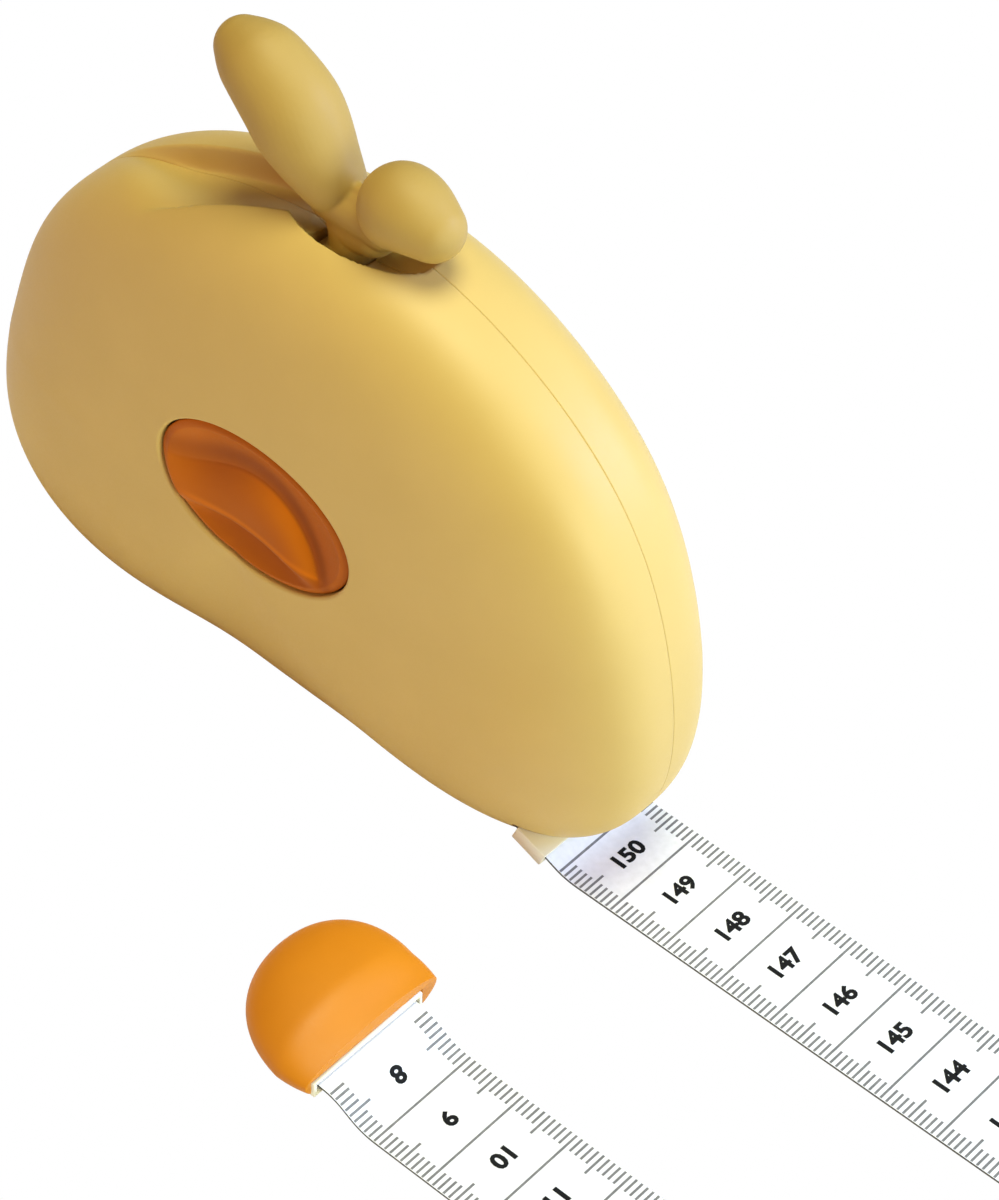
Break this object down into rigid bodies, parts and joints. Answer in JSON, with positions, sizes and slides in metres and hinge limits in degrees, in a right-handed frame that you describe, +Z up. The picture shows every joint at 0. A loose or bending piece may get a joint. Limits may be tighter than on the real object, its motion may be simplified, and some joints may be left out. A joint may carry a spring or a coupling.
{
  "type": "retractable cloth tape measure",
  "caption": "Yellow palm-sized retractable cloth tape measure with a lobed crest lever, an orange side button and an orange pull tab, tape drawn out and coiled beside it.",
  "frame": {"origin": "on the flat base of the case, midway along the case and on its seam", "axes": "+X towards the nose where the tape comes out, +Y towards the side without the button, +Z up"},
  "size_m": [0.2868, 0.0877, 0.1137],
  "materials": {
    "case_yellow": "soft matte moulded plastic",
    "button_orange": "semi gloss moulded plastic",
    "tab_orange": "satin moulded plastic",
    "cream_lip": "satin",
    "tape_white": "coated cloth with printed graduations",
    "spring_steel": "bright",
    "inner_grey": "plain moulded",
    "brake_rubber": "matte"
  },
  "bodies": {
    "case": {"left_shell": "case_yellow", "right_shell": "case_yellow", "shell_screw_1": "spring_steel", "shell_screw_2": "spring_steel", "shell_screw_3": "spring_steel", "shell_screw_4": "spring_steel", "crest_pin": "spring_steel", "mouth_guide": "cream_lip", "axle_post": "spring_steel", "roller_pin": "spring_steel", "button_cage": "inner_grey", "button_spring": "spring_steel", "lever_pin": "spring_steel", "lever_spring": "spring_steel", "tape_case_strip": "tape_white", "tape_roll": "tape_white", "tape_tab_strip": "tape_white", "tab_shell": "tab_orange", "tab_liner": "cream_lip", "tab_pin": "spring_steel"},
    "drum_assembly": {"drum": "inner_grey", "near_flange": "inner_grey", "power_spring": "spring_steel", "wound_leader": "tape_white"},
    "crest": {"crest_lever": "case_yellow", "brake_shoe": "brake_rubber"},
    "button": {"side_button": "button_orange"},
    "lever": {"release_lever": "spring_steel"},
    "roller": {"guide_roller": "inner_grey"}
  },
  "joints": [
    {"name": "drum_spin", "type": "hinge", "parent": "case", "child": "drum_assembly", "pos_m": [-0.023, 0, 0.042], "axis": [0, -1, 0], "continuous": true},
    {"name": "crest_rock", "type": "hinge", "parent": "case", "child": "crest", "pos_m": [0.004, 0, 0.0805], "axis": [0, -1, 0], "range_deg": [0, 15]},
    {"name": "button_press", "type": "slide", "parent": "case", "child": "button", "axis": [0, 1, 0], "range_m": [0, 0.002], "stiffness_N_per_m": 300, "deforming": ["button_spring"]},
    {"name": "lever_release", "type": "hinge", "parent": "case", "child": "lever", "pos_m": [0.003, 0, 0.029], "axis": [0, 1, 0], "range_deg": [0, 9.2], "deforming": ["lever_spring"]},
    {"name": "roller_spin", "type": "hinge", "parent": "case", "child": "roller", "pos_m": [0.03188, 0, 0.00623], "axis": [0, 1, 0], "continuous": true}
  ],
  "couplings": [
    {"joint": "lever_release", "follows": "button_press", "rad_per_m": 78},
    {"joint": "roller_spin", "follows": "drum_spin", "ratio": 5.3}
  ]
}
